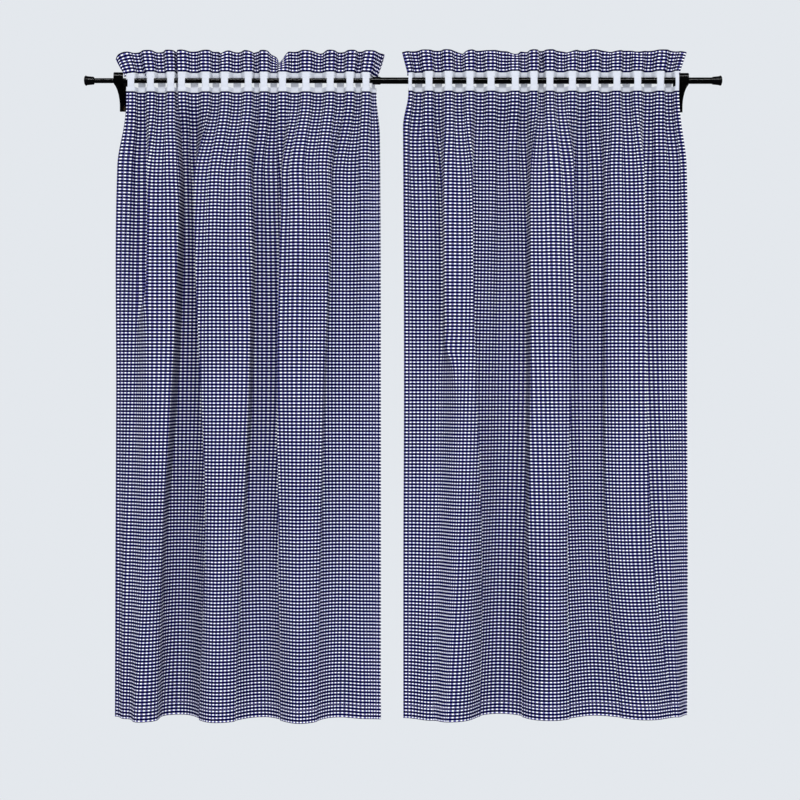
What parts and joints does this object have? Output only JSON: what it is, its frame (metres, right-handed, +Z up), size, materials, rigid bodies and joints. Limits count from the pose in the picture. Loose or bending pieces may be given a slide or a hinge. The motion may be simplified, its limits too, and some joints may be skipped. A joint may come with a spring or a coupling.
{
  "type": "cafe curtains on a telescopic rod",
  "caption": "Gathered gingham cafe curtains with ruffled headings and woven ladder tape, hanging from a telescopic rod held by hooked wall brackets.",
  "frame": {"origin": "on the back face of the left bracket's wall plate, level with the rod's axis", "axes": "+X along the rod to the right as seen from the room, +Y into the wall, +Z up"},
  "size_m": [1.0918, 0.1033, 1.1458],
  "materials": {
    "gingham": "matte",
    "tape": "matte",
    "rod": "gloss",
    "cap": "gloss",
    "screw": "satin"
  },
  "bodies": {
    "root": {"drop_left": "gingham", "drop_right": "gingham", "heading_left": "gingham", "heading_right": "gingham", "tape_left": "tape", "tape_right": "tape", "rod_inner_tube": "rod", "rod_outer_tube": "rod", "end_cap_left": "cap", "end_cap_right": "cap", "bracket_left": "rod", "bracket_right": "rod", "wall_screw_left": "screw", "wall_screw_right": "screw"}
  },
  "joints": []
}
